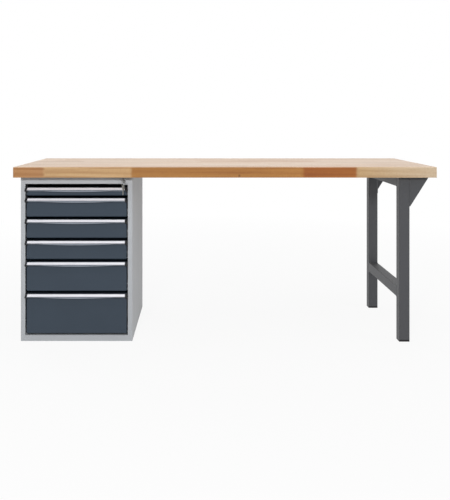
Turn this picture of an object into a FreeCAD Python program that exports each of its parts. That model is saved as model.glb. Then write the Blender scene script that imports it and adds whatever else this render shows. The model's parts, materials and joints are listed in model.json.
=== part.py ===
import FreeCAD, Part
import Sketcher
import os
from types import SimpleNamespace

# Workbench: a beech worktop on a drawer cabinet (left) and a welded leg frame (right).
# Frame: X to the right, Y to the back, Z up, origin on the floor under the worktop's centre.
# All sizes are millimetres.

# Driving sizes
SIZES = {
    # worktop
    "bench_length": 2000.0,
    "bench_depth": 700.0,
    "bench_height": 840.0,
    "top_thickness": 50.0,
    "top_edge_round": 2.5,
    # leg frame of square tube
    "tube_size": 50.0,
    "tube_wall": 2.0,
    "tube_corner": 3.0,
    "leg_front_setback": 50.0,
    "leg_rear_setback": 20.0,
    "lower_rail_height": 205.0,
    "foot_height": 9.0,
    "foot_plug": 18.0,
    "foot_play": 0.3,
    "gusset_inset": 22.0,
    "gusset_reach": 91.0,
    "gusset_drop": 142.0,
    "gusset_plate": 3.0,
    "gusset_depth": 45.0,
    "gusset_step": 1.0,
    # screws that hold the worktop
    "screw_radius": 3.0,
    "screw_play": 0.05,
    "screw_bite": 30.0,
    "screw_flats": 10.0,
    "screw_head_height": 4.0,
    "screw_hole_play": 0.5,
    "gusset_screw_inset": 24.0,
    "gusset_screw_pitch": 44.0,
    "cab_screw_inset": 60.0,
    # cabinet
    "cab_inset": 22.0,
    "cab_width": 535.0,
    "cab_setback": 60.0,
    "cab_rear_setback": 40.0,
    "cab_sheet": 1.5,
    "stile_width": 21.0,
    "frame_return": 18.0,
    "top_rail": 35.0,
    "bottom_rail": 28.0,
    "floor_flange": 30.0,
    # uprights that carry the runners
    "upright_width": 40.0,
    "upright_inset": 40.0,
    # runners
    "runner_gauge": 12.7,
    "runner_row_gap": 21.0,
    "runner_sheet": 1.2,
    "runner_play": 0.3,
    "runner_flange": 8.5,
    "runner_lift": 1.0,
    "runner_front_gap": 2.0,
    "runner_rear_gap": 33.0,
    # drawers
    "top_row_gap": 13.0,
    "front_side_gap": 6.0,
    "front_low_gap": 6.0,
    "front_top_gap": 4.0,
    "front_depth": 20.0,
    "front_sheet": 1.2,
    "front_return": 14.0,
    "front_recess": 0.5,
    "front_bevel": 1.2,
    "front_bend": 8.0,
    "box_rear_gap": 40.0,
    "box_sheet": 1.2,
    "box_rim": 6.0,
    "box_lift": 3.0,
    "box_drop": 5.0,
    # grip strip on each drawer front
    "grip_side_gap": 1.5,
    "grip_cap": 10.5,
    "grip_wall": 2.0,
    "grip_slant": 3.0,
    "grip_top_depth": 8.0,
    "grip_reach": 23.0,
    "grip_face": 12.0,
    "grip_nose": 1.5,
    "grip_leg": 18.0,
    "lip_setback": 6.0,
    "lip_inset": 22.0,
    "lip_bow": 7.0,
    "cap_skirt": 20.0,
    "cap_chin": 4.0,
    "cap_bevel": 1.2,
    # lock
    "lock_from_right": 41.5,
    "lock_from_top": 19.0,
    "lock_play": 0.05,
    "rosette_radius": 10.0,
    "rosette_height": 3.0,
    "rosette_bevel": 1.0,
    "barrel_radius": 8.0,
    "barrel_length": 25.0,
    "barrel_play": 0.1,
    "nut_flats": 20.0,
    "nut_height": 5.0,
    "plug_radius": 5.0,
    "plug_sink": 0.3,
    "plug_tail": 7.0,
    "keyway_width": 2.2,
    "keyway_height": 8.0,
    "keyway_depth": 22.0,
    "key_play": 0.2,
    "key_collar": 4.0,
    "key_neck": 12.0,
    "key_bow_radius": 12.0,
    "key_hole_radius": 3.0,
    "key_hole_edge": 2.6,
    "ring_radius": 9.5,
    "ring_wire": 0.8,
    "ring_half_width": 0.9,
    "ring_play": 0.3,
    # locking bar and cam
    "cam_sheet": 2.0,
    "cam_hub": 7.0,
    "cam_throw": 12.0,
    "cam_tip": 4.5,
    "pin_radius": 2.5,
    "bar_sheet": 3.0,
    "bar_width": 13.0,
    "bar_play": 0.3,
    "bar_arm_below": 12.0,
    "bar_arm_above": 9.0,
    "bar_arm_reach": 8.0,
    "bar_floor_gap": 12.0,
    "lug_reach": 5.0,
    "lug_height": 12.0,
    # cuts run past the faces that they open by this much
    "overrun": 1.0,
}

# Drawer heights in equal rows, top drawer first
ROW_UNITS = [1, 2, 2, 2, 3, 4]

# The bar's slot drops by this share of the cam's throw, because the pin first swings sideways
SLOT_DROP_SHARE = 0.24

# Points on the inside of a sheet's bend, as shares of its radius from the two walls
BEND_SHARES = [(0.5, 0.134), (0.134, 0.5), (0.0, 1.0)]

# Points closer than this are the same place
TOUCH = 0.01

doc = FreeCAD.newDocument("Workbench")
sheet = doc.addObject("Spreadsheet::Sheet", "Sizes")
for number, (alias, value) in enumerate(SIZES.items(), start=1):
    sheet.set(f"A{number}", alias)
    sheet.set(f"B{number}", str(value))
    sheet.setAlias(f"B{number}", alias)
doc.recompute()


class Size:
    """A length as a number, for the first draft of a sketch, and as the sheet's formula."""

    def __init__(self, value, formula):
        self.value = value
        self.formula = formula

    def __add__(self, other):
        other = as_size(other)
        return Size(self.value + other.value, f"({self.formula} + {other.formula})")

    def __sub__(self, other):
        other = as_size(other)
        return Size(self.value - other.value, f"({self.formula} - {other.formula})")

    def __mul__(self, other):
        other = as_size(other)
        return Size(self.value * other.value, f"({self.formula} * {other.formula})")

    def __truediv__(self, other):
        other = as_size(other)
        return Size(self.value / other.value, f"({self.formula} / {other.formula})")

    def __neg__(self):
        return Size(-self.value, f"(-1 * {self.formula})")


def as_size(other):
    """Take a plain count or share as it is, and a Size unchanged."""
    if isinstance(other, Size):
        return other
    return Size(float(other), str(other))


ZERO = Size(0.0, "0")
S = SimpleNamespace(**{name: Size(value, f"Sizes.{name}") for name, value in SIZES.items()})


# Sketches and features

def sketch_on(body, plane, label, offset=ZERO):
    """A sketch on one of the body's origin planes, moved along +X, +Y or +Z by offset."""
    sketch = body.newObject("Sketcher::SketchObject", label)
    support = [feature for feature in body.Origin.OriginFeatures if feature.Role == plane][0]
    sketch.AttachmentSupport = (support, [""])
    sketch.MapMode = "FlatFace"
    if offset is not ZERO:
        along = -offset if plane == "XZ_Plane" else offset
        sketch.setExpression("AttachmentOffset.Base.z", along.formula)
    return sketch


def fix_point(sketch, geometry, point, u, v):
    """Hold one point of the sketch at the distances u and v from its origin."""
    for kind, amount in (("DistanceX", u), ("DistanceY", v)):
        constraint = Sketcher.Constraint(kind, -1, 1, geometry, point, amount.value)
        index = sketch.addConstraint(constraint)
        sketch.setExpression(f"Constraints[{index}]", amount.formula)


def draw_outline(sketch, points):
    """A closed outline of straight lines through the points (u, v)."""
    first = sketch.GeometryCount
    count = len(points)
    for index, (u, v) in enumerate(points):
        next_u, next_v = points[(index + 1) % count]
        start = FreeCAD.Vector(u.value, v.value, 0)
        end = FreeCAD.Vector(next_u.value, next_v.value, 0)
        sketch.addGeometry(Part.LineSegment(start, end), False)
    for index, (u, v) in enumerate(points):
        here = first + index
        following = first + (index + 1) % count
        sketch.addConstraint(Sketcher.Constraint("Coincident", here, 2, following, 1))
        fix_point(sketch, here, 1, u, v)


def draw_circle(sketch, u, v, radius):
    """A circle about (u, v)."""
    centre = FreeCAD.Vector(u.value, v.value, 0)
    upright = FreeCAD.Vector(0, 0, 1)
    here = sketch.addGeometry(Part.Circle(centre, upright, radius.value), False)
    index = sketch.addConstraint(Sketcher.Constraint("Radius", here, radius.value))
    sketch.setExpression(f"Constraints[{index}]", radius.formula)
    fix_point(sketch, here, 3, u, v)


def rectangle(u0, v0, u1, v1):
    """The four corners of a rectangle."""
    return [(u0, v0), (u1, v0), (u1, v1), (u0, v1)]


def hexagon(u, v, flats):
    """The corners of a hexagon about (u, v), as wide across its flats as flats."""
    flat = flats / 2
    root_three = 3 ** 0.5
    corner = flats / root_three
    return [
        (u + corner, v),
        (u + corner / 2, v + flat),
        (u - corner / 2, v + flat),
        (u - corner, v),
        (u - corner / 2, v - flat),
        (u + corner / 2, v - flat),
    ]


def new_body(label):
    """An empty body with the name of its piece."""
    body = doc.addObject("PartDesign::Body", "Body")
    body.Label = label
    return body


def add_prism(body, plane, shapes, start, length):
    """Pad the drawn shapes from start along +X, +Y or +Z."""
    sketch = sketch_on(body, plane, "Outline", start)
    draw_shapes(sketch, shapes)
    pad = body.newObject("PartDesign::Pad", "Pad")
    pad.Profile = sketch
    pad.setExpression("Length", length.formula)
    pad.Reversed = plane == "XZ_Plane"
    doc.recompute()
    return pad


def cut_prism(body, plane, shapes, start, length):
    """Cut the drawn shapes from start along +X, +Y or +Z, and make sure that it cuts."""
    before = body.Shape.Volume
    sketch = sketch_on(body, plane, "Opening", start)
    draw_shapes(sketch, shapes)
    pocket = body.newObject("PartDesign::Pocket", "Pocket")
    pocket.Profile = sketch
    pocket.setExpression("Length", length.formula)
    pocket.Reversed = plane != "XZ_Plane"
    doc.recompute()
    if not pocket.Shape.Volume < before:
        raise ValueError(f"{body.Label}: a pocket cuts nothing")
    return pocket


def draw_shapes(sketch, shapes):
    """Each shape is a list of corners, or a circle as (u, v, radius)."""
    for shape in shapes:
        if isinstance(shape, tuple):
            draw_circle(sketch, *shape)
        else:
            draw_outline(sketch, shape)


def round_edges(body, radius, chosen):
    """Round the edges of the body's last feature for which chosen(edge) holds."""
    base = body.Tip
    names = [f"Edge{n}" for n, edge in enumerate(base.Shape.Edges, start=1) if chosen(edge)]
    fillet = body.newObject("PartDesign::Fillet", "Fillet")
    fillet.Base = (base, names)
    fillet.setExpression("Radius", radius.formula)
    doc.recompute()
    return fillet


def runs_along(edge, axis):
    """Whether a straight edge runs along the axis, 0 for X, 1 for Y and 2 for Z."""
    return edge.Curve.TypeId == "Part::GeomLine" and abs(edge.tangentAt(0)[axis]) > 0.999


def bevel_edges(body, size, chosen):
    """Cut a flat bevel on the edges of the body's last feature for which chosen(edge) holds."""
    base = body.Tip
    names = [f"Edge{n}" for n, edge in enumerate(base.Shape.Edges, start=1) if chosen(edge)]
    bevel = body.newObject("PartDesign::Chamfer", "Chamfer")
    bevel.Base = (base, names)
    bevel.setExpression("Size", size.formula)
    doc.recompute()
    return bevel


def spun_body(label, profile, x, y, z):
    """A body turned about the Y axis through (x, y, z). The profile is (along Y, radius)."""
    body = new_body(label)
    sketch = sketch_on(body, "YZ_Plane", "Profile")
    draw_outline(sketch, profile)
    turned = body.newObject("PartDesign::Revolution", "Revolution")
    turned.Profile = sketch
    turned.ReferenceAxis = (sketch, ["H_Axis"])
    turned.Angle = 360
    move_to(body, x, y, z)
    doc.recompute()
    return body


def move_to(piece, x, y, z):
    """Bind the piece's place to the sheet."""
    for axis, amount in (("x", x), ("y", y), ("z", z)):
        piece.setExpression(f"Placement.Base.{axis}", amount.formula)


def group(label, bodies):
    """Several separate solids that share one node."""
    compound = doc.addObject("Part::Compound", "Group")
    compound.Links = bodies
    compound.Label = label
    return compound


# Places that several pieces share

left_end = -S.bench_length / 2
right_end = S.bench_length / 2
front_edge = -S.bench_depth / 2
back_edge = S.bench_depth / 2
under_top = S.bench_height - S.top_thickness

leg_right = right_end - S.gusset_inset - S.gusset_reach
leg_left = leg_right - S.tube_size
leg_front = front_edge + S.leg_front_setback
leg_back = back_edge - S.leg_rear_setback
leg_middle = leg_right - S.tube_size / 2

cab_left = left_end + S.cab_inset
cab_right = cab_left + S.cab_width
cab_front = front_edge + S.cab_setback
cab_back = back_edge - S.cab_rear_setback
open_left = cab_left + S.stile_width
open_right = cab_right - S.stile_width
open_top = under_top - S.top_rail
open_width = S.cab_width - S.stile_width * 2
row_pitch = (open_top - S.top_row_gap - S.bottom_rail) / sum(ROW_UNITS)
runner_height = row_pitch - S.runner_row_gap
front_face = cab_front + S.front_recess
grip_left = open_left + S.grip_side_gap + S.grip_cap
grip_right = open_right - S.grip_side_gap - S.grip_cap

hole_radius = S.screw_radius + S.screw_hole_play
gusset_screw_x = leg_right + S.gusset_screw_inset
gusset_screw_xs = [gusset_screw_x, gusset_screw_x + S.gusset_screw_pitch]
gusset_screw_ys = [leg_front + S.gusset_depth / 2, leg_back - S.gusset_depth / 2]
cab_screw_xs = [cab_left + S.cab_screw_inset, cab_right - S.cab_screw_inset]
cab_screw_ys = [cab_front + S.cab_screw_inset, cab_back - S.cab_screw_inset]
gusset_screws = [(x, y) for x in gusset_screw_xs for y in gusset_screw_ys]
cab_screws = [(x, y) for x in cab_screw_xs for y in cab_screw_ys]

lock_x = cab_right - S.lock_from_right
lock_z = under_top - S.lock_from_top
bar_start = cab_front + S.upright_inset - S.bar_play - S.bar_sheet
key_bow_y = cab_front - S.rosette_height - S.key_collar - S.key_bow_radius
key_eye_y = key_bow_y - S.key_bow_radius + S.key_hole_edge + S.key_hole_radius


# Worktop and its screws

def make_worktop():
    body = new_body("worktop")
    board = rectangle(left_end, front_edge, right_end, back_edge)
    add_prism(body, "XY_Plane", [board], under_top, S.top_thickness)
    round_edges(body, S.top_edge_round, lambda edge: edge.BoundBox.ZMax > under_top.value + TOUCH)
    pilots = [(x, y, S.screw_radius + S.screw_play) for x, y in gusset_screws + cab_screws]
    cut_prism(body, "XY_Plane", pilots, under_top, S.screw_bite + S.overrun)
    return body


def make_screw(label, x, y, seat):
    """A screw whose hexagon head lies under the sheet at height seat."""
    body = new_body(label)
    head = hexagon(x, y, S.screw_flats)
    add_prism(body, "XY_Plane", [head], seat - S.screw_head_height, S.screw_head_height)
    shank_length = under_top - seat + S.screw_bite
    add_prism(body, "XY_Plane", [(x, y, S.screw_radius)], seat, shank_length)
    return body


def make_worktop_screws():
    seats = [(x, y, under_top - S.gusset_plate) for x, y in gusset_screws]
    seats += [(x, y, under_top - S.cab_sheet) for x, y in cab_screws]
    bodies = [make_screw(f"screw_{n}", *seat) for n, seat in enumerate(seats, start=1)]
    return group("worktop_screws", bodies)


# Leg frame

def make_post(label, y):
    """An upright square tube from the foot cap to the worktop."""
    body = new_body(label)
    outer = rectangle(leg_left, y, leg_right, y + S.tube_size)
    wall = S.tube_wall
    inner = rectangle(leg_left + wall, y + wall, leg_right - wall, y + S.tube_size - wall)
    add_prism(body, "XY_Plane", [outer], S.foot_height, under_top - S.foot_height)
    round_edges(body, S.tube_corner, lambda edge: runs_along(edge, 2))
    cut_prism(body, "XY_Plane", [inner], S.foot_height, under_top - S.foot_height)
    return body


def make_beam(label, z):
    """A level square tube between the two posts."""
    body = new_body(label)
    start = leg_front + S.tube_size
    length = leg_back - leg_front - S.tube_size * 2
    wall = S.tube_wall
    outer = rectangle(leg_left, z, leg_right, z + S.tube_size)
    inner = rectangle(leg_left + wall, z + wall, leg_right - wall, z + S.tube_size - wall)
    add_prism(body, "XZ_Plane", [outer], start, length)
    round_edges(body, S.tube_corner, lambda edge: runs_along(edge, 1))
    cut_prism(body, "XZ_Plane", [inner], start, length)
    return body


def make_gusset(label, start, face_start, screw_y):
    """A folded corner plate: a triangle with a flange on the post and one under the worktop."""
    body = new_body(label)
    plate = S.gusset_plate
    tip_x = leg_right + S.gusset_reach
    low_z = under_top - S.gusset_drop
    outer = [
        (leg_right, under_top),
        (leg_right, low_z),
        (leg_right + plate, low_z),
        (tip_x, under_top - plate),
        (tip_x, under_top),
    ]
    hollow = [
        (leg_right + plate, under_top - plate),
        (leg_right + plate, low_z - S.overrun),
        (tip_x + S.overrun, low_z - S.overrun),
        (tip_x + S.overrun, under_top - plate),
    ]
    depth = S.gusset_depth - S.gusset_step
    add_prism(body, "XZ_Plane", [outer], start, depth)
    cut_prism(body, "XZ_Plane", [hollow], face_start, depth - plate)
    holes = [(x, screw_y, hole_radius) for x in gusset_screw_xs]
    cut_prism(body, "XY_Plane", holes, under_top - plate, plate)
    return body


def make_foot_cap(label, y):
    """A plastic shoe under a post, with a plug that fills the tube's end."""
    body = new_body(label)
    base = rectangle(leg_left, y, leg_right, y + S.tube_size)
    gap = S.tube_wall + S.foot_play
    plug = rectangle(leg_left + gap, y + gap, leg_right - gap, y + S.tube_size - gap)
    add_prism(body, "XY_Plane", [base], ZERO, S.foot_height)
    round_edges(body, S.tube_corner, lambda edge: runs_along(edge, 2))
    add_prism(body, "XY_Plane", [plug], S.foot_height, S.foot_plug)
    return body


def make_leg_frame():
    rear_post = leg_back - S.tube_size
    front_start = leg_front + S.gusset_step
    rear_start = leg_back - S.gusset_depth
    caps = [make_foot_cap("foot_front", leg_front), make_foot_cap("foot_rear", rear_post)]
    return [
        make_post("leg_front_post", leg_front),
        make_post("leg_rear_post", rear_post),
        make_beam("leg_top_beam", under_top - S.tube_size),
        make_beam("leg_lower_rail", S.lower_rail_height),
        make_gusset("leg_gusset_front", front_start, front_start + S.gusset_plate,
                    gusset_screw_ys[0]),
        make_gusset("leg_gusset_rear", rear_start, rear_start, gusset_screw_ys[1]),
        group("leg_foot_caps", caps),
    ]


# Cabinet shell

def make_side(label, outer_x, inward):
    """A side panel with folded edges. Its front fold is the frame beside the drawers."""
    body = new_body(label)

    def across(distance):
        return outer_x + distance * inward

    wall = S.cab_sheet
    section = [
        (across(ZERO), cab_front),
        (across(S.stile_width), cab_front),
        (across(S.stile_width), cab_front + S.frame_return),
        (across(S.stile_width - wall), cab_front + S.frame_return),
        (across(S.stile_width - wall), cab_front + wall),
        (across(wall), cab_front + wall),
        (across(wall), cab_back - wall),
        (across(S.stile_width), cab_back - wall),
        (across(S.stile_width), cab_back),
        (across(ZERO), cab_back),
    ]
    add_prism(body, "XY_Plane", [section], ZERO, under_top)
    return body


def make_cabinet_top():
    """The top sheet with the top rail folded down in front and a flange at the back."""
    body = new_body("cabinet_top")
    wall = S.cab_sheet
    section = [
        (cab_front, under_top),
        (cab_front, open_top),
        (cab_front + S.frame_return, open_top),
        (cab_front + S.frame_return, open_top + wall),
        (cab_front + wall, open_top + wall),
        (cab_front + wall, under_top - wall),
        (cab_back - wall, under_top - wall),
        (cab_back - wall, open_top),
        (cab_back, open_top),
        (cab_back, under_top),
    ]
    add_prism(body, "YZ_Plane", [section], open_left, open_width)
    holes = [(x, y, hole_radius) for x, y in cab_screws]
    cut_prism(body, "XY_Plane", holes, under_top - wall, wall)
    lock_hole = [(lock_x, lock_z, S.barrel_radius + S.barrel_play)]
    cut_prism(body, "XZ_Plane", lock_hole, cab_front, wall)
    return body


def make_cabinet_base():
    """The base sheet with the bottom rail in front and flanges that stand on the floor."""
    body = new_body("cabinet_base")
    wall = S.cab_sheet
    section = [
        (cab_front, ZERO),
        (cab_front + S.floor_flange, ZERO),
        (cab_front + S.floor_flange, wall),
        (cab_front + wall, wall),
        (cab_front + wall, S.bottom_rail - wall),
        (cab_back - wall, S.bottom_rail - wall),
        (cab_back - wall, wall),
        (cab_back - S.floor_flange, wall),
        (cab_back - S.floor_flange, ZERO),
        (cab_back, ZERO),
        (cab_back, S.bottom_rail),
        (cab_front, S.bottom_rail),
    ]
    add_prism(body, "YZ_Plane", [section], open_left, open_width)
    return body


def make_cabinet_back():
    body = new_body("cabinet_back")
    panel = rectangle(open_left, S.bottom_rail, open_right, open_top)
    add_prism(body, "XZ_Plane", [panel], cab_back - S.cab_sheet, S.cab_sheet)
    return body


def make_upright(label, outer_x, inward, y):
    """A channel on the side panel that carries the runners."""
    body = new_body(label)
    wall = S.cab_sheet
    foot = outer_x + wall * inward
    face = outer_x + S.stile_width * inward
    inner = face - wall * inward
    section = [
        (foot, y),
        (face, y),
        (face, y + S.upright_width),
        (foot, y + S.upright_width),
        (foot, y + S.upright_width - wall),
        (inner, y + S.upright_width - wall),
        (inner, y + wall),
        (foot, y + wall),
    ]
    add_prism(body, "XY_Plane", [section], S.bottom_rail, open_top - S.bottom_rail)
    return body


def make_uprights():
    rear = cab_back - S.upright_inset - S.upright_width
    places = [("front", cab_front + S.upright_inset), ("rear", rear)]
    bodies = []
    for side, outer_x, inward in (("left", cab_left, 1), ("right", cab_right, -1)):
        for name, y in places:
            bodies.append(make_upright(f"upright_{side}_{name}", outer_x, inward, y))
    return group("cabinet_uprights", bodies)


def make_cabinet_shell():
    return [
        make_side("cabinet_side_left", cab_left, 1),
        make_side("cabinet_side_right", cab_right, -1),
        make_cabinet_top(),
        make_cabinet_base(),
        make_cabinet_back(),
        make_uprights(),
    ]


# Drawers

def drawer_heights():
    """For each drawer, top first, the heights of its row's floor and ceiling."""
    rows = []
    above_floor = sum(ROW_UNITS)
    for units in ROW_UNITS:
        ceiling = S.bottom_rail + row_pitch * above_floor
        above_floor -= units
        floor = S.bottom_rail + row_pitch * above_floor
        rows.append((floor, ceiling))
    return rows


def make_channel(label, wall_x, inward, web_place, flange_place, half, z):
    """A runner member: a C with its web at web_place and flanges that reach to flange_place."""
    body = new_body(label)
    faces_in = web_place.value < flange_place.value
    wall = S.runner_sheet if faces_in else -S.runner_sheet
    x0 = wall_x + web_place * inward
    web = wall_x + (web_place + wall) * inward
    x1 = wall_x + flange_place * inward
    section = [
        (x0, z - half),
        (x1, z - half),
        (x1, z - half + S.runner_sheet),
        (web, z - half + S.runner_sheet),
        (web, z + half - S.runner_sheet),
        (x1, z + half - S.runner_sheet),
        (x1, z + half),
        (x0, z + half),
    ]
    start = cab_front + S.front_depth + S.runner_front_gap
    end = cab_back - S.runner_rear_gap
    add_prism(body, "XZ_Plane", [section], start, end - start)
    return body


def make_runner_pair(label, web_place, flange_place, half, z):
    """The same runner member on both sides of a drawer."""
    return [
        make_channel(f"{label}_left", open_left, 1, web_place, flange_place, half, z),
        make_channel(f"{label}_right", open_right, -1, web_place, flange_place, half, z),
    ]


def make_front(label, floor, top):
    """The drawer front, a shallow pan with a wide bend along its lower edge."""
    body = new_body(label)
    wall = S.front_sheet
    x0 = open_left + S.front_side_gap
    x1 = open_right - S.front_side_gap
    z0 = floor + S.front_low_gap
    depth = S.front_depth - S.front_recess
    add_prism(body, "XZ_Plane", [rectangle(x0, z0, x1, top)], front_face, depth)
    bend_top = z0 + S.front_bend

    def is_in_face(edge):
        return edge.BoundBox.YMax < front_face.value + TOUCH

    def is_bend(edge):
        return is_in_face(edge) and edge.BoundBox.ZMax < z0.value + TOUCH

    def is_above_bend(edge):
        return is_in_face(edge) and edge.BoundBox.ZMax > bend_top.value + TOUCH

    round_edges(body, S.front_bend, is_bend)
    bevel_edges(body, S.front_bevel, is_above_bend)
    near = front_face + wall
    far = front_face + depth - wall
    inner_bend = S.front_bend - wall
    hollow = [(near, top - wall), (far, top - wall), (far, z0 + wall), (near + inner_bend, z0 + wall)]
    hollow += [(near + inner_bend * back, z0 + wall + inner_bend * up) for back, up in BEND_SHARES]
    cut_prism(body, "YZ_Plane", [hollow], x0 + wall, x1 - x0 - wall * 2)
    fold = S.front_return
    mouth = rectangle(x0 + fold, z0 + fold, x1 - fold, top - fold)
    cut_prism(body, "XZ_Plane", [mouth], far, wall)
    return body


def make_box(label, floor, top):
    """The drawer's box, open on top, with its side walls folded outwards along the rim."""
    body = new_body(label)
    wall = S.box_sheet
    x0 = open_left + S.runner_gauge
    x1 = open_right - S.runner_gauge
    y0 = cab_front + S.front_depth
    y1 = cab_back - S.box_rear_gap
    z0 = floor + S.front_low_gap + S.box_lift
    height = top - S.box_drop - z0
    add_prism(body, "XY_Plane", [rectangle(x0, y0, x1, y1)], z0, height)
    rim = rectangle(x0 - S.box_rim, y0, x1 + S.box_rim, y1)
    add_prism(body, "XY_Plane", [rim], z0 + height - wall, wall)
    inside = rectangle(x0 + wall, y0 + wall, x1 - wall, y1 - wall)
    cut_prism(body, "XY_Plane", [inside], z0 + wall, height)
    return body


def make_grip(label, top):
    """The grip strip: a sloping face, a leg on the front and a bowed lip to pull on."""
    body = new_body(label)
    wall = S.grip_wall
    back = front_face
    brow = back - S.grip_top_depth
    nose = back - S.grip_reach
    face_low = top - S.grip_face
    nose_low = face_low - S.grip_nose
    lip_back = nose + S.lip_setback + wall
    slope = (S.grip_reach - S.grip_top_depth) / S.grip_face
    inner_low = nose_low + wall
    inner_high = top - wall
    inner_brow = brow + S.grip_slant
    section = [
        (back, top),
        (brow, top),
        (nose, face_low),
        (nose, nose_low),
        (lip_back, nose_low),
        (lip_back, inner_low),
        (inner_brow - slope * (top - inner_low), inner_low),
        (inner_brow - slope * wall, inner_high),
        (back - wall, inner_high),
        (back - wall, top - S.grip_leg),
        (back, top - S.grip_leg),
    ]
    add_prism(body, "YZ_Plane", [section], grip_left, grip_right - grip_left)
    sketch = sketch_on(body, "XZ_Plane", "Lip", nose + S.lip_setback)
    draw_bowed_lip(sketch, grip_left + S.lip_inset, grip_right - S.lip_inset, inner_low, nose_low)
    pad = body.newObject("PartDesign::Pad", "Pad")
    pad.Profile = sketch
    pad.setExpression("Length", wall.formula)
    pad.Reversed = True
    doc.recompute()
    return body


def draw_bowed_lip(sketch, left, right, top, low):
    """A strip whose lower edge is one shallow arc, deepest in the middle."""
    middle = (left + right) / 2
    corners = [(left, low), (left, top), (right, top), (right, low)]
    for (u0, v0), (u1, v1) in zip(corners, corners[1:]):
        start = FreeCAD.Vector(u0.value, v0.value, 0)
        end = FreeCAD.Vector(u1.value, v1.value, 0)
        sketch.addGeometry(Part.LineSegment(start, end), False)
    ends = [FreeCAD.Vector(u.value, v.value, 0) for u, v in
            (corners[0], (middle, low - S.lip_bow), corners[3])]
    arc = sketch.addGeometry(Part.Arc(*ends), False)
    for index in (0, 1):
        sketch.addConstraint(Sketcher.Constraint("Coincident", index, 2, index + 1, 1))
    sketch.addConstraint(Sketcher.Constraint("Coincident", 2, 2, arc, 2))
    sketch.addConstraint(Sketcher.Constraint("Coincident", 0, 1, arc, 1))
    for index, (u, v) in enumerate(corners[:3]):
        fix_point(sketch, index, 1, u, v)
    fix_point(sketch, 2, 2, *corners[3])
    half = (right - left) / 2
    radius = (half * half + S.lip_bow * S.lip_bow) / (S.lip_bow * 2)
    index = sketch.addConstraint(Sketcher.Constraint("Radius", arc, radius.value))
    sketch.setExpression(f"Constraints[{index}]", radius.formula)


def make_grip_cap(label, start, end_x, top):
    """The moulded end of a grip strip, bevelled round its free end at end_x."""
    body = new_body(label)
    back = front_face
    nose = back - S.grip_reach
    profile = [
        (back, top),
        (back - S.grip_top_depth, top),
        (nose, top - S.grip_face),
        (nose, top - S.grip_face - S.grip_nose),
        (nose + S.cap_chin, top - S.cap_skirt),
        (back, top - S.cap_skirt),
    ]
    add_prism(body, "YZ_Plane", [profile], start, S.grip_cap)

    def is_free_end(edge):
        at_end = abs(edge.CenterOfMass.x - end_x.value) < TOUCH
        return at_end and edge.BoundBox.YMin < back.value - TOUCH

    bevel_edges(body, S.cap_bevel, is_free_end)
    return body


def make_drawer(number, floor, ceiling):
    """All the pieces of one drawer and of its runners, apart from the fixed members."""
    name = f"drawer_{number}"
    top = ceiling - S.front_top_gap
    cap_left = grip_left - S.grip_cap
    caps = [
        make_grip_cap(f"{name}_cap_left", cap_left, cap_left, top),
        make_grip_cap(f"{name}_cap_right", grip_right, grip_right + S.grip_cap, top),
    ]
    half = runner_height / 2
    inner_step = S.runner_sheet + S.runner_play
    z = floor + S.front_low_gap + S.box_lift + S.runner_lift + half
    middle = make_runner_pair(f"{name}_middle", inner_step, inner_step + S.runner_flange,
                              half - inner_step, z)
    moving = make_runner_pair(f"{name}_moving", S.runner_gauge, inner_step * 2,
                              half - inner_step * 2, z)
    fixed = make_runner_pair(f"{name}_fixed", ZERO, S.runner_flange, half, z)
    nodes = [
        make_front(f"{name}_front", floor, top),
        make_box(f"{name}_box", floor, top),
        make_grip(f"{name}_grip", top),
        group(f"{name}_grip_caps", caps),
        group(f"{name}_runners", moving),
        group(f"{name}_middle_runners", middle),
    ]
    return nodes, fixed


def make_drawers():
    nodes = []
    fixed = []
    for number, (floor, ceiling) in enumerate(drawer_heights(), start=1):
        drawer_nodes, drawer_fixed = make_drawer(number, floor, ceiling)
        nodes += drawer_nodes
        fixed += drawer_fixed
    nodes.append(group("fixed_runners", fixed))
    return nodes


# Lock, keys and locking bar

def make_lock_housing():
    """The fixed barrel with its round rosette. Distances run back from the cabinet's face."""
    bore = S.plug_radius + S.lock_play
    profile = [
        (-S.rosette_height, bore),
        (-S.rosette_height, S.rosette_radius - S.rosette_bevel),
        (-S.rosette_height + S.rosette_bevel, S.rosette_radius),
        (ZERO, S.rosette_radius),
        (ZERO, S.barrel_radius),
        (S.barrel_length, S.barrel_radius),
        (S.barrel_length, bore),
    ]
    return spun_body("lock_housing", profile, lock_x, cab_front, lock_z)


def make_lock_nut():
    """The six-sided nut that clamps the barrel behind the rail."""
    body = new_body("lock_nut")
    outside = hexagon(lock_x, lock_z, S.nut_flats)
    bore = (lock_x, lock_z, S.barrel_radius + S.lock_play)
    add_prism(body, "XZ_Plane", [outside, bore], cab_front + S.cab_sheet, S.nut_height)
    return body


def make_lock_plug():
    """The part that turns, with a slot for the key."""
    body = new_body("lock_plug")
    start = cab_front - S.rosette_height + S.plug_sink
    length = S.rosette_height - S.plug_sink + S.barrel_length + S.plug_tail
    add_prism(body, "XZ_Plane", [(lock_x, lock_z, S.plug_radius)], start, length)
    half_width = S.keyway_width / 2
    half_height = S.keyway_height / 2
    slot = rectangle(lock_x - half_width, lock_z - half_height,
                     lock_x + half_width, lock_z + half_height)
    cut_prism(body, "XZ_Plane", [slot], start, S.keyway_depth)
    return body


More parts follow.
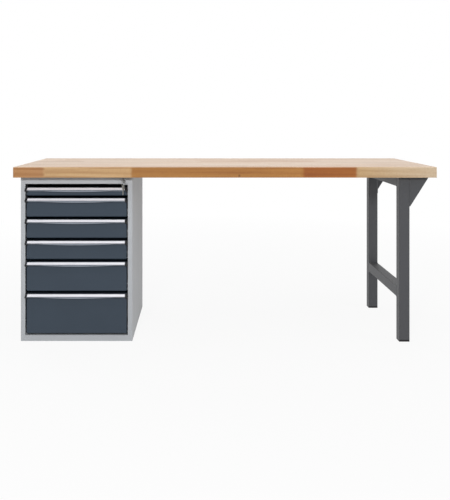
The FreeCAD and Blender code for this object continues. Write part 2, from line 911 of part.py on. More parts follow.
def make_lock_cam():
    """The lever on the plug's tail, with the pin that lifts the locking bar."""
    body = new_body("lock_cam")
    start = cab_front + S.barrel_length + S.plug_tail
    hub = (lock_x, lock_z, S.cam_hub)
    tip_z = lock_z - S.cam_throw
    arm = rectangle(lock_x - S.cam_tip, tip_z, lock_x + S.cam_tip, lock_z)
    add_prism(body, "XZ_Plane", [hub], start, S.cam_sheet)
    add_prism(body, "XZ_Plane", [arm], start, S.cam_sheet)
    add_prism(body, "XZ_Plane", [(lock_x, tip_z, S.cam_tip)], start, S.cam_sheet)
    pin_end = bar_start + S.bar_sheet
    add_prism(body, "XZ_Plane", [(lock_x, tip_z, S.pin_radius)], start, pin_end - start)
    return body


def make_key():
    """The key in the lock: blade, neck and round bow with a hole for the ring."""
    body = new_body("key_in_lock")
    half_sheet = S.keyway_width / 2 - S.key_play
    thickness = half_sheet * 2
    half_blade = S.keyway_height / 2 - S.key_play
    face = cab_front - S.rosette_height
    left = lock_x - half_sheet
    tip = face + S.keyway_depth - S.key_collar
    neck_end = face - S.key_neck
    blade = [
        (neck_end, lock_z - half_blade),
        (tip - half_blade, lock_z - half_blade),
        (tip, lock_z),
        (tip - half_blade / 2, lock_z + half_blade),
        (neck_end, lock_z + half_blade),
    ]
    add_prism(body, "YZ_Plane", [blade], left, thickness)
    add_prism(body, "YZ_Plane", [(key_bow_y, lock_z, S.key_bow_radius)], left, thickness)
    eye = [(key_eye_y, lock_z, S.key_hole_radius)]
    cut_prism(body, "YZ_Plane", eye, left - S.overrun, thickness + S.overrun * 2)
    return body


def make_key_ring():
    """The flat ring that hangs in the key's hole."""
    hang = S.key_hole_radius - S.ring_wire - S.ring_play
    section = rectangle(-S.ring_half_width, S.ring_radius - S.ring_wire,
                        S.ring_half_width, S.ring_radius + S.ring_wire)
    return spun_body("key_ring", section, lock_x, key_eye_y, lock_z - hang - S.ring_radius)


def make_locking_bar(rows):
    """The bar beside the runners, with an arm that the cam lifts and a lug at each drawer."""
    body = new_body("locking_bar")
    right = cab_right - S.cab_sheet - S.bar_play
    left = right - S.bar_width
    low = S.bottom_rail + S.bar_floor_gap
    pin_z = lock_z - S.cam_throw
    arm_low = pin_z - S.bar_arm_below
    arm_top = pin_z + S.bar_arm_above
    arm_left = lock_x - S.bar_arm_reach
    shape = [(left, low), (right, low), (right, arm_top), (arm_left, arm_top),
             (arm_left, arm_low), (left, arm_low)]
    add_prism(body, "XZ_Plane", [shape], bar_start, S.bar_sheet)
    lug_left = left - S.lug_reach
    lugs = [rectangle(lug_left, floor + S.bar_floor_gap, left + S.overrun,
                      floor + S.bar_floor_gap + S.lug_height) for floor, ceiling in rows]
    for lug in lugs:
        add_prism(body, "XZ_Plane", [lug], bar_start, S.bar_sheet)
    gap = S.pin_radius + S.bar_play
    slot = rectangle(lock_x - gap, pin_z - gap - S.cam_throw * SLOT_DROP_SHARE,
                     lock_x + S.cam_throw + gap, pin_z + gap)
    cut_prism(body, "XZ_Plane", [slot], bar_start, S.bar_sheet)
    return body


def make_lock():
    return [
        make_lock_housing(),
        make_lock_nut(),
        make_lock_plug(),
        make_lock_cam(),
        make_key(),
        make_key_ring(),
        make_locking_bar(drawer_heights()),
    ]


# Build, check and write

def check_document():
    """Stop if any object failed to recompute."""
    for item in doc.Objects:
        if "Invalid" in item.State or "Error" in item.State:
            raise ValueError(f"{item.Label}: {item.State}")


def write_nodes(nodes):
    os.makedirs("parts", exist_ok=True)
    for node in nodes:
        shape = node.Shape
        if shape.isNull() or not shape.isValid():
            raise ValueError(f"{node.Label}: shape is not valid")
        box = shape.BoundBox
        print(f"{node.Label}: {len(shape.Solids)} solids, "
              f"X {box.XMin:.1f}..{box.XMax:.1f} Y {box.YMin:.1f}..{box.YMax:.1f} "
              f"Z {box.ZMin:.1f}..{box.ZMax:.1f}, {shape.Volume / 1000:.1f} cm3")
        shape.exportStep(f"parts/{node.Label}.step")
    print(f"{len(nodes)} nodes")


all_nodes = [make_worktop(), make_worktop_screws()]
all_nodes += make_leg_frame()
all_nodes += make_cabinet_shell()
all_nodes += make_drawers()
all_nodes += make_lock()
doc.recompute()
check_document()
write_nodes(all_nodes)
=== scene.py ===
# %% [markdown]
# # A workshop bench with a drawer cabinet
# The bench is already built as solids in metres: X to the right, Y to the back, Z up.
# This lesson dresses it: camera, light, finishes, and the small things that solids leave out.

import json
import math

import bmesh
import bpy
from mathutils import Matrix, Vector


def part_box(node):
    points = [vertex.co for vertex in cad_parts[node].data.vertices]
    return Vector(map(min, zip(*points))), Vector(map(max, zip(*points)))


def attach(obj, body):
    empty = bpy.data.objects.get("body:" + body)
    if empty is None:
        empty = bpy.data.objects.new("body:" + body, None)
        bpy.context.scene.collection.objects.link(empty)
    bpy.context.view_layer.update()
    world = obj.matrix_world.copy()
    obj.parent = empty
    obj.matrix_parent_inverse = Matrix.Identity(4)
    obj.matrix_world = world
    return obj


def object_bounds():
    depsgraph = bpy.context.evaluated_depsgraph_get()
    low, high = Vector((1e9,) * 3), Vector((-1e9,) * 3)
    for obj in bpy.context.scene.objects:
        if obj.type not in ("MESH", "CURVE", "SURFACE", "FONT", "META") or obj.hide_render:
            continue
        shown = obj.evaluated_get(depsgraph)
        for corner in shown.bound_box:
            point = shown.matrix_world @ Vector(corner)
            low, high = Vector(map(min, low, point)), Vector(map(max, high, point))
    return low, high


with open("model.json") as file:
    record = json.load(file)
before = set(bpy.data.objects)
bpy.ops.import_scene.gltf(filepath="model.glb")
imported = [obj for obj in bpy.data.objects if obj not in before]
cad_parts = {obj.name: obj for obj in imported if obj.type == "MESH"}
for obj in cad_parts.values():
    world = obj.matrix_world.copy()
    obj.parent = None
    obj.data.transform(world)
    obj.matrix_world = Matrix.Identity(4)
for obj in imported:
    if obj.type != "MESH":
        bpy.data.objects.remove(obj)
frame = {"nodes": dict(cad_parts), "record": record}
solid_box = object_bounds()
nodes = frame["nodes"]

# %% [markdown]
# ## Camera
# The photograph was taken with a level camera, so upright edges stay upright. The bench sits
# low and left in the frame, and a level camera gets that with lens shift, not by tilting.
# The numbers are pixels measured in the picture and turned into Blender's units here.

# %% Camera
FRAME_WIDTH = 450
FRAME_HEIGHT = 500
HORIZON_PX = 118.3
VANISHING_PX = 198.0
FOCAL_PX = 678.7
CAMERA_PLACE = (-0.127, -3.551, 1.070)


def make_camera():
    camera_data = bpy.data.cameras.new("camera")
    camera = bpy.data.objects.new("camera", camera_data)
    bpy.context.scene.collection.objects.link(camera)
    camera.location = CAMERA_PLACE
    camera.rotation_euler = (math.radians(90), 0, 0)
    camera_data.lens = FOCAL_PX / FRAME_HEIGHT * camera_data.sensor_width
    camera_data.shift_x = (FRAME_WIDTH / 2 - VANISHING_PX) / FRAME_HEIGHT
    camera_data.shift_y = (HORIZON_PX - FRAME_HEIGHT / 2) / FRAME_HEIGHT
    bpy.context.scene.camera = camera
    print("lens", round(camera_data.lens, 2), "mm")


make_camera()

# %% [markdown]
# ## Building materials from nodes
# Every finish is a small network of nodes. Two helpers keep the cells short: `put` adds a
# node with its settings, and `calc` does one sum. Patterns read Object coordinates, so a
# grain size is a real size in metres.

# %% Node helpers


def put(tree, kind, values=None, **settings):
    """Add a node. settings are its properties; values are numbers or sockets for its inputs."""
    shares_shader_node = kind in ("Math", "CombineXYZ", "VectorMath")
    is_shape = tree.bl_idname == "GeometryNodeTree" and not shares_shader_node
    made = tree.nodes.new(("GeometryNode" if is_shape else "ShaderNode") + kind)
    for key, value in settings.items():
        setattr(made, key, value)
    for key, value in (values or {}).items():
        plug(tree, value, made.inputs[key])
    return made


def plug(tree, value, target):
    """Link a socket, or set a plain value."""
    if isinstance(value, bpy.types.NodeSocket):
        tree.links.new(value, target)
    else:
        target.default_value = value


def calc(tree, operation, first, second=0.0, third=0.0):
    """One sum on numbers or sockets."""
    made = put(tree, "Math", operation=operation)
    for index, value in enumerate((first, second, third)):
        plug(tree, value, made.inputs[index])
    return made.outputs[0]


def blend_colours(tree, share, first, second, kind="MIX"):
    """Mix two colours. share 0 gives the first. A Mix node's colour sockets come last."""
    made = put(tree, "Mix", {0: share, 6: first, 7: second}, data_type="RGBA", blend_type=kind)
    return made.outputs[2]


def ramp(tree, share, stops, constant=False):
    """A colour ramp from (place, colour) stops."""
    made = put(tree, "ValToRGB", {"Fac": share})
    made.color_ramp.interpolation = "CONSTANT" if constant else "LINEAR"
    elements = made.color_ramp.elements
    while len(elements) < len(stops):
        elements.new(0.5)
    for element, (place, colour) in zip(elements, stops):
        element.position = place
        element.color = colour
    return made.outputs[0]


def object_place(tree, scale=(1, 1, 1)):
    """Object coordinates in metres, stretched by scale."""
    coords = put(tree, "TexCoord")
    mapping = put(tree, "Mapping", {"Vector": coords.outputs["Object"], "Scale": scale})
    return mapping.outputs[0]


def noise(tree, size, detail=4.0, stretch=(1, 1, 1), roughness=0.55):
    """Noise whose blobs are about size metres across, longer where stretch is small."""
    place = object_place(tree, stretch)
    values = {"Vector": place, "Scale": 1 / size, "Detail": detail, "Roughness": roughness}
    return put(tree, "TexNoise", values).outputs[0]


def rgb(red, green, blue):
    """A display colour of 0 to 255 as the linear colour that shaders take."""
    channels = []
    for level in (red, green, blue):
        share = level / 255
        channels.append(share / 12.92 if share <= 0.04045 else ((share + 0.055) / 1.055) ** 2.4)
    return (*channels, 1.0)


def new_material(name, roughness, metallic=0.0):
    """A material with its shader; returns the material, its tree and the shader."""
    material = bpy.data.materials.new(name)
    material.use_nodes = True
    tree = material.node_tree
    shader = tree.nodes["Principled BSDF"]
    shader.inputs["Roughness"].default_value = roughness
    shader.inputs["Metallic"].default_value = metallic
    return material, tree, shader


def bump(tree, shader, height, depth, edge=0.0006):
    """Raise the surface by height times depth metres, over softly rounded edges."""
    rounded = put(tree, "Bevel", {"Radius": edge}, samples=4)
    made = put(tree, "Bump", {"Strength": 1.0, "Distance": depth, "Height": height,
                              "Normal": rounded.outputs[0]})
    plug(tree, made.outputs[0], shader.inputs["Normal"])


# %% [markdown]
# ## Beech worktop
# A solid beech board is glued from staves about 47 mm wide. Each stave has its own tone and
# ends somewhere along the board, in a zigzag finger joint. The shader finds the stave under each
# point with floor and white noise, and draws in each one its own streaks, arches, pores and
# flecks, and growth rings on the two ends. An image would show the same staves on every board;
# sums on the place don't repeat. The front edge shows five pieces, so their ends are named here.

# %% Beech: sizes and tones
STAVE_WIDTH = 0.0467
STAVE_LENGTH = 0.62
FINGER_LENGTH = 0.011
FINGER_PITCH = 0.0042
ROW_SHIFT = 7.0
GLUE_FROM_MIDDLE = 0.492
TONE_JOINT = 0.0005
# x of each front stave's left end, its tone there and its tone at the right end
FRONT_STAVES = [
    (-1.0, rgb(180, 136, 89), rgb(183, 140, 97)),
    (-0.853, rgb(206, 174, 129), rgb(208, 176, 131)),
    (-0.439, rgb(165, 118, 60), rgb(183, 131, 67)),
    (0.368, rgb(158, 90, 28), rgb(168, 103, 41)),
    (0.623, rgb(204, 176, 132), rgb(225, 210, 183)),
]
# Tones of the staves on the top, paler than the front edge's tones: partly the wood's own tone and
# partly painted light, the sheen that the top catches
STAVE_TONES = [
    (0.0, rgb(206, 179, 155)),
    (0.3, rgb(218, 197, 176)),
    (0.6, rgb(210, 189, 170)),
    (0.85, rgb(222, 203, 184)),
    (1.0, rgb(201, 171, 145)),
]
PORE_BROWN = rgb(128, 82, 52)
KNOT_PLACE = (0.068, -0.350, 0.799)

# %% Beech: which stave a point is in


def find_stave(tree, x, y, z):
    """Row across the board, number along it, and how far across the row the point is."""
    low_x = solid_box[0][0]
    across = calc(tree, "DIVIDE", calc(tree, "SUBTRACT", y, solid_box[0][1]), STAVE_WIDTH)
    row = calc(tree, "FLOOR", across)
    zigzag = calc(tree, "PINGPONG", calc(tree, "ADD", y, z), FINGER_PITCH / 2)
    finger = calc(tree, "MULTIPLY", zigzag, FINGER_LENGTH / FINGER_PITCH * 2)
    place = calc(tree, "ADD", x, calc(tree, "SUBTRACT", finger, FINGER_LENGTH / 2))
    shift = put(tree, "TexWhiteNoise", {"W": row}, noise_dimensions="1D").outputs[0]
    along = calc(tree, "DIVIDE", calc(tree, "SUBTRACT", place, low_x), STAVE_LENGTH)
    piece = calc(tree, "FLOOR", calc(tree, "MULTIPLY_ADD", shift, ROW_SHIFT, along))
    share = calc(tree, "DIVIDE", calc(tree, "SUBTRACT", place, low_x), solid_box[1][0] - low_x)
    return across, row, piece, share


def front_share(x):
    """How far along the front edge x is, from 0 to 1."""
    return (x - solid_box[0][0]) / (solid_box[1][0] - solid_box[0][0])


def front_stave_number(tree, share):
    """0 to 1 for the five staves of the front edge, from their named ends."""
    stops = [(front_share(start), (number / len(FRONT_STAVES), 0, 0, 1))
             for number, (start, _, _) in enumerate(FRONT_STAVES)]
    return ramp(tree, share, stops, constant=True)


def front_stave_tone(tree, share):
    """Each stave of the front edge drifts from its left tone to its right tone."""
    starts = [front_share(start) for start, _, _ in FRONT_STAVES]
    ends = [start - TONE_JOINT for start in starts[1:]] + [1.0]
    stops = []
    for start, end, (_, left, right) in zip(starts, ends, FRONT_STAVES):
        stops += [(start, left), (end, right)]
    return ramp(tree, share, stops)


# %% Beech: grain
# Ramp stops that the tone is multiplied by
BAND_SHADES = [(0.30, (0.78, 0.70, 0.62, 1)), (0.5, (1.0, 1.0, 1.0, 1)),
               (0.7, (1.08, 1.09, 1.10, 1))]
STREAK_SHADES = [(0.36, (0.74, 0.66, 0.58, 1)), (0.56, (1.04, 1.04, 1.04, 1))]
ARCH_SHADES = [(0.1, (0.82, 0.74, 0.66, 1)), (0.7, (1.05, 1.05, 1.05, 1))]
# Marks for each metre along and across the stave
PORE_SCALE = (150, 1500, 1500)
FLECK_SCALE = (330, 60, 60)


def long_grain(tree, place, along, across, twist):
    """Noise drawn out along X, from 0 to 1. along and across are streaks for each metre."""
    drawn = put(tree, "Mapping", {"Vector": place, "Scale": (along, across, across)})
    return put(tree, "TexNoise", {"Vector": drawn.outputs[0], "Scale": 1.0, "Detail": 5.0,
                                  "Roughness": 0.62, "Distortion": twist}).outputs[0]


def growth_figure(tree, place):
    """The arches that growth rings draw on a flat-sawn stave."""
    drawn = put(tree, "Mapping", {"Vector": place, "Scale": (0.55, 8.0, 8.0)})
    return put(tree, "TexWave", {"Vector": drawn.outputs[0], "Scale": 1.6, "Distortion": 5.5,
                                 "Detail": 3.0, "Detail Scale": 1.4}, wave_type="RINGS",
               rings_direction="Y").outputs[1]


def grey_stops(*stops):
    """Ramp stops from (place, level) pairs."""
    return [(place, (level, level, level, 1)) for place, level in stops]


def marks(tree, place, scale, detail, stops):
    """A mask of small dark marks, from 0 to 1."""
    drawn = put(tree, "Mapping", {"Vector": place, "Scale": scale}).outputs[0]
    spots = put(tree, "TexNoise", {"Vector": drawn, "Scale": 1.0, "Detail": detail}).outputs[0]
    return ramp(tree, spots, grey_stops(*stops))


def end_grain(tree, place):
    """The growth rings that show on the worktop's two ends."""
    drawn = put(tree, "Mapping", {"Vector": place, "Scale": (0, 1, 1), "Location": (0, 0, -0.74)})
    rings = put(tree, "TexWave", {"Vector": drawn.outputs[0], "Scale": 90.0, "Distortion": 5.0,
                                  "Detail": 3.0}, wave_type="RINGS", rings_direction="X")
    return blend_colours(tree, calc(tree, "MULTIPLY", rings.outputs[1], 0.35),
                         rgb(196, 156, 118), rgb(146, 104, 70))


# %% Beech: the material


def make_beech():
    material, tree, shader = new_material("beech", 0.42)
    object_point = put(tree, "TexCoord").outputs["Object"]
    split = put(tree, "SeparateXYZ", {0: object_point})
    across, row, piece, share = find_stave(tree, *split.outputs[:3])
    is_front = calc(tree, "LESS_THAN", row, 0.5)
    number = put(tree, "Mix", {0: is_front, 2: piece, 3: front_stave_number(tree, share)})
    cell = put(tree, "CombineXYZ", {0: row, 1: number.outputs[0]}).outputs[0]
    chance = put(tree, "TexWhiteNoise", {"Vector": cell}, noise_dimensions="2D").outputs[0]
    normal = put(tree, "SeparateXYZ", {0: put(tree, "NewGeometry").outputs["Normal"]}).outputs
    # The front row's top face takes mostly the pale top tones instead of its own front tone:
    # painted light, the top drawn paler than the front edge because it catches the light
    painted_lit_top = calc(tree, "MULTIPLY", calc(tree, "GREATER_THAN", normal[2], 0.3), 0.7)
    tone = blend_colours(tree, calc(tree, "SUBTRACT", is_front, painted_lit_top),
                         ramp(tree, chance, STAVE_TONES), front_stave_tone(tree, share))

    shift = put(tree, "CombineXYZ", {0: calc(tree, "MULTIPLY", chance, 9.0), 1: chance,
                                     2: calc(tree, "MULTIPLY", chance, 5.0)}).outputs[0]
    place = put(tree, "VectorMath", {0: object_point, 1: shift}, operation="ADD").outputs[0]
    streaks = long_grain(tree, place, 2.2, 70.0, 0.5)
    bands = long_grain(tree, place, 1.1, 16.0, 1.2)
    arches = growth_figure(tree, place)
    depth = calc(tree, "MULTIPLY_ADD", chance, 0.35, 0.2)
    depth = calc(tree, "MULTIPLY_ADD", is_front, 0.22, depth)
    for share_of, grain, shades in ((0.75, bands, BAND_SHADES), (0.55, streaks, STREAK_SHADES),
                                    (depth, arches, ARCH_SHADES)):
        tone = blend_colours(tree, share_of, tone, ramp(tree, grain, shades), "MULTIPLY")

    pores = marks(tree, place, PORE_SCALE, 1.0, ((0.60, 0), (0.68, 1)))
    tone = blend_colours(tree, calc(tree, "MULTIPLY", pores, 0.4), tone, PORE_BROWN)
    flecks = marks(tree, place, FLECK_SCALE, 2.0, ((0.56, 0), (0.70, 1)))
    tone = blend_colours(tree, calc(tree, "MULTIPLY", flecks, 0.12), tone, PORE_BROWN)

    is_end = calc(tree, "GREATER_THAN", calc(tree, "ABSOLUTE", normal[0]), 0.75)
    tone = blend_colours(tree, is_end, tone, end_grain(tree, place))

    beside = calc(tree, "ABSOLUTE", calc(tree, "SUBTRACT", calc(tree, "FRACT", across), 0.5))
    glue_line = calc(tree, "GREATER_THAN", beside, GLUE_FROM_MIDDLE)
    tone = blend_colours(tree, calc(tree, "MULTIPLY", glue_line, 0.3), tone, PORE_BROWN)
    from_knot = put(tree, "VectorMath", {0: object_point, 1: KNOT_PLACE}, operation="DISTANCE")
    knot = ramp(tree, from_knot.outputs["Value"], grey_stops((0.0022, 1), (0.0055, 0)))
    tone = blend_colours(tree, calc(tree, "MULTIPLY", knot, 0.85), tone, rgb(62, 34, 22))
    plug(tree, tone, shader.inputs["Base Color"])
    plug(tree, calc(tree, "MULTIPLY_ADD", streaks, 0.16, 0.36), shader.inputs["Roughness"])
    height = calc(tree, "SUBTRACT", streaks, calc(tree, "MULTIPLY", pores, 0.5))
    bump(tree, shader, height, 0.00012, edge=0.0012)
    return material


beech = make_beech()
print("beech:", len(beech.node_tree.nodes), "nodes")

# %% [markdown]
# ## Painted steel
# Powder coat is a thick paint with a fine orange-peel skin. One recipe serves the light grey
# cabinet, the blue-grey drawers and the dark leg frame: a slow drift of tone, a fine skin in
# the bump, and rounded edges that catch the light.

# %% Powder coat
SPECK_SHADES = [(0.35, (0.55, 0.55, 0.55, 1)), (0.65, (1.3, 1.3, 1.3, 1))]


def make_powder_coat(name, colour, roughness, skin, depth, drift):
    """Paint of one colour. skin is the size of its grain and depth its height, in metres."""
    material, tree, shader = new_material(name, roughness)
    slow = noise(tree, 0.22, detail=3.0)
    light = [min(1.0, c * (1 + drift)) for c in colour[:3]] + [1.0]
    dark = [c * (1 - drift) for c in colour[:3]] + [1.0]
    tone = ramp(tree, slow, [(0.3, dark), (0.7, light)])
    speck = noise(tree, skin * 0.7, detail=2.0)
    tone = blend_colours(tree, 0.10, tone, ramp(tree, speck, SPECK_SHADES), "MULTIPLY")
    plug(tree, tone, shader.inputs["Base Color"])
    peel = noise(tree, skin, detail=2.0)
    rough = calc(tree, "MULTIPLY_ADD", peel, 0.12, roughness - 0.06)
    plug(tree, rough, shader.inputs["Roughness"])
    bump(tree, shader, peel, depth, edge=0.0008)
    return material


cabinet_grey = make_powder_coat("cabinet_grey", rgb(175, 178, 182), 0.46,
                                skin=0.0011, depth=0.00006, drift=0.025)
drawer_paint = make_powder_coat("drawer_blue_grey", rgb(54, 65, 77), 0.25,
                                skin=0.0013, depth=0.00002, drift=0.03)
drawer_paint.node_tree.nodes["Principled BSDF"].inputs["Specular IOR Level"].default_value = 0.3
frame_paint = make_powder_coat("frame_grey", rgb(70, 71, 74), 0.52,
                               skin=0.0009, depth=0.00008, drift=0.03)

# %% [markdown]
# ## Bare and plated metal
# The grip strips are satin anodised aluminium, drawn lengthwise through a die, so their fine
# lines run along X. The runners and screws are zinc-plated, with soft cloudy patches. The lock
# is chromed and the keys are nickel-plated and a little worn.

# %% Metals


def make_metal(name, colour, roughness, streak=(1, 1, 1), size=0.002, depth=0.00001, spread=0.1):
    """Metal with a streaked or cloudy finish. A small streak value draws it out that way."""
    material, tree, shader = new_material(name, roughness, metallic=1.0)
    streaks = noise(tree, size, detail=3.0, stretch=streak)
    cloud = noise(tree, 0.06, detail=2.0)
    light = [min(1.0, c * 1.08) for c in colour[:3]] + [1.0]
    dark = [c * 0.86 for c in colour[:3]] + [1.0]
    tone = ramp(tree, calc(tree, "MULTIPLY_ADD", streaks, 0.5, calc(tree, "MULTIPLY", cloud, 0.5)),
                [(0.35, dark), (0.65, light)])
    plug(tree, tone, shader.inputs["Base Color"])
    rough = calc(tree, "MULTIPLY_ADD", streaks, spread, roughness - spread / 2)
    plug(tree, rough, shader.inputs["Roughness"])
    bump(tree, shader, streaks, depth, edge=0.0004)
    return material


aluminium = make_metal("aluminium", rgb(142, 149, 160), 0.34, streak=(0.02, 1, 1), size=0.0006)
zinc_steel = make_metal("zinc_steel", rgb(196, 199, 203), 0.30, streak=(1, 0.12, 1), size=0.004)
chrome = make_metal("chrome", rgb(128, 129, 131), 0.16, size=0.003, depth=0.000002, spread=0.04)
nickel = make_metal("nickel", rgb(150, 149, 143), 0.30, streak=(1, 1, 0.2), size=0.0008,
                    spread=0.14)

# %% [markdown]
# ## Black plastic
# The feet and the ends of the grip strips are moulded plastic: nearly black, matt, with the
# fine leather-like grain of the mould.

# %% Plastic


def make_plastic():
    material, tree, shader = new_material("black_plastic", 0.5)
    grain = put(tree, "TexVoronoi", {"Vector": object_place(tree), "Scale": 1400.0})
    cloud = noise(tree, 0.02, detail=3.0)
    tone = ramp(tree, cloud, [(0.3, rgb(17, 17, 19)), (0.7, rgb(27, 27, 29))])
    plug(tree, tone, shader.inputs["Base Color"])
    shader.inputs["Specular IOR Level"].default_value = 0.35
    rough = calc(tree, "MULTIPLY_ADD", cloud, 0.2, 0.34)
    plug(tree, rough, shader.inputs["Roughness"])
    bump(tree, shader, grain.outputs[0], 0.00004, edge=0.0006)
    return material


black_plastic = make_plastic()

# %% [markdown]
# ## Label film
# A pale film lies along the whole grip strip, under a clear cover, and takes the drawer's label.
# Paper fibres show faintly, and a coat on the shader stands for the clear cover.

# %% Label film


def make_label_film():
    material, tree, shader = new_material("label_film", 0.5)
    fibres = noise(tree, 0.0009, detail=3.0, stretch=(0.25, 1, 1))
    cloud = noise(tree, 0.05, detail=2.0)
    mixed = calc(tree, "MULTIPLY_ADD", fibres, 0.4, calc(tree, "MULTIPLY", cloud, 0.6))
    tone = ramp(tree, mixed, [(0.3, rgb(230, 230, 237)), (0.7, rgb(240, 240, 246))])
    plug(tree, tone, shader.inputs["Base Color"])
    plug(tree, calc(tree, "MULTIPLY_ADD", fibres, 0.14, 0.42), shader.inputs["Roughness"])
    shader.inputs["Coat Weight"].default_value = 0.35
    shader.inputs["Coat Roughness"].default_value = 0.12
    bump(tree, shader, fibres, 0.00001, edge=0.0003)
    return material


label_film = make_label_film()

# %% [markdown]
# ## Dressing the solids
# Each solid knows its finish by the material slot in its record, so one table of slot names
# is enough to paint the whole bench.

# %% Paint the solids
FINISHES = {
    "beech": beech,
    "frame_grey": frame_paint,
    "cabinet_grey": cabinet_grey,
    "drawer_blue_grey": drawer_paint,
    "aluminium": aluminium,
    "black_plastic": black_plastic,
    "zinc_steel": zinc_steel,
    "chrome": chrome,
    "nickel": nickel,
}


def paint_solids():
    for entry in frame["record"]["subparts"]:
        solid = nodes[entry["node"]]
        for material_slot in solid.material_slots:
            material_slot.material = FINISHES[entry["material_slot"]]


paint_solids()

# %% [markdown]
# ## Shapes from Geometry Nodes
# Some small things repeat on the bench: a label in each of six grips, a bead along each weld.
# Each is one Geometry Nodes tree with named sizes. A helper runs the tree on a throwaway object
# and keeps the result as a plain mesh, because an export can't carry the modifier.

# %% Shape helpers
MERGE_DISTANCE = 0.00001


def new_shape_tree(name, sizes):
    """A Geometry Nodes tree; returns it, its input sockets and the identifier of each size."""
    tree = bpy.data.node_groups.new(name, "GeometryNodeTree")
    tree.interface.new_socket("Geometry", in_out="OUTPUT", socket_type="NodeSocketGeometry")
    tree.interface.new_socket("Geometry", in_out="INPUT", socket_type="NodeSocketGeometry")
    keys = {}
    for label, kind in sizes:
        socket = tree.interface.new_socket(label, in_out="INPUT", socket_type="NodeSocket" + kind)
        keys[label] = socket.identifier
    return tree, tree.nodes.new("NodeGroupInput").outputs, keys


def end_shape_tree(tree, shape, material):
    """Make instances real, give the shape its material and send it out."""
    real = put(tree, "RealizeInstances", {"Geometry": shape})
    coated = put(tree, "SetMaterial", {"Geometry": real.outputs[0], "Material": material})
    tree.links.new(coated.outputs[0], tree.nodes.new("NodeGroupOutput").inputs[0])


def add_piece(name, mesh, body):
    piece = bpy.data.objects.new(name, mesh)
    bpy.context.scene.collection.objects.link(piece)
    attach(piece, body)
    return piece


def run_shape_tree(tree, keys, sizes, start_mesh):
    """The plain mesh that the tree makes from start_mesh with these sizes."""
    source = bpy.data.objects.new("source", start_mesh)
    bpy.context.scene.collection.objects.link(source)
    modifier = source.modifiers.new("shape", "NODES")
    modifier.node_group = tree
    for label, value in sizes.items():
        modifier[keys[label]] = value
    depsgraph = bpy.context.evaluated_depsgraph_get()
    made = bpy.data.meshes.new_from_object(source.evaluated_get(depsgraph))
    bpy.data.objects.remove(source)
    return made


# %% [markdown]
# ## Labels in the grips
# The sloping face of each grip holds a label strip with rounded corners, between two thin ribs.
# A filled, filleted rectangle is pushed out to its thickness, then tilted onto the face. The
# ribs stand for the edging that holds the clear cover, made as lines with a round section,
# and their black is painted shade: the thin dark shadow line along the cover's edges.

# %% Label strips
FACE_DEPTH = 0.015
FACE_HEIGHT = 0.012
LABEL_WIDTH = 0.0152
LABEL_THICKNESS = 0.0005
LABEL_CORNER = 0.0015
LABEL_SHORTER = 0.003
RIB_RADIUS = 0.0009
RIB_SIDES = 8
RIB_SHORTER = 0.001


def label_tree():
    tree, sizes, keys = new_shape_tree("label_strip", [
        ("Length", "Float"), ("Width", "Float"), ("Thickness", "Float"), ("Corner", "Float"),
        ("Tilt", "Vector"), ("Place", "Vector")])
    outline = put(tree, "CurvePrimitiveQuadrilateral", {"Width": sizes["Length"],
                                                        "Height": sizes["Width"]})
    rounded = put(tree, "FilletCurve", {"Curve": outline.outputs[0], "Radius": sizes["Corner"],
                                        "Limit Radius": True, "Count": 3}, mode="POLY")
    flat = put(tree, "FillCurve", {"Curve": rounded.outputs[0]}, mode="NGONS")
    raised = put(tree, "ExtrudeMesh", {"Mesh": flat.outputs[0], "Offset Scale": sizes["Thickness"],
                                       "Individual": False})
    under = put(tree, "FlipFaces", {"Mesh": flat.outputs[0]})
    both = put(tree, "JoinGeometry")
    tree.links.new(under.outputs[0], both.inputs[0])
    tree.links.new(raised.outputs[0], both.inputs[0])
    closed = put(tree, "MergeByDistance", {"Geometry": both.outputs[0],
                                           "Distance": MERGE_DISTANCE})
    placed = put(tree, "Transform", {"Geometry": closed.outputs[0], "Translation": sizes["Place"],
                                     "Rotation": sizes["Tilt"]})
    end_shape_tree(tree, placed.outputs[0], label_film)
    return tree, keys


def rib_tree():
    tree, sizes, keys = new_shape_tree("shade_line_ribs", [
        ("Length", "Float"), ("Apart", "Float"), ("Radius", "Float"),
        ("Tilt", "Vector"), ("Place", "Vector")])
    half = calc(tree, "MULTIPLY", sizes["Length"], 0.5)
    start = put(tree, "CombineXYZ", {0: calc(tree, "MULTIPLY", half, -1.0)}).outputs[0]
    end = put(tree, "CombineXYZ", {0: half}).outputs[0]
    line = put(tree, "CurvePrimitiveLine", {"Start": start, "End": end})
    section = put(tree, "CurvePrimitiveCircle", {"Radius": sizes["Radius"],
                                                 "Resolution": RIB_SIDES})
    rod = put(tree, "CurveToMesh", {"Curve": line.outputs[0], "Profile Curve": section.outputs[0],
                                    "Fill Caps": True}).outputs[0]
    both = put(tree, "JoinGeometry")
    for side in (0.5, -0.5):
        offset = put(tree, "CombineXYZ", {1: calc(tree, "MULTIPLY", sizes["Apart"], side)})
        moved = put(tree, "Transform", {"Geometry": rod, "Translation": offset.outputs[0]})
        tree.links.new(moved.outputs[0], both.inputs[0])
    placed = put(tree, "Transform", {"Geometry": both.outputs[0], "Translation": sizes["Place"],
                                     "Rotation": sizes["Tilt"]})
    # Black here is painted shade: the ribs draw the dark shadow line along the cover's edges
    end_shape_tree(tree, placed.outputs[0], black_plastic)
    return tree, keys


def grip_face(grip_name):
    """Length of a grip, the middle of its sloping face and the face's tilt about X."""
    low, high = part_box(grip_name)
    place = ((low[0] + high[0]) / 2, low[1] + FACE_DEPTH / 2, high[2] - FACE_HEIGHT / 2)
    return high[0] - low[0], place, (math.atan2(FACE_HEIGHT, FACE_DEPTH), 0.0, 0.0)


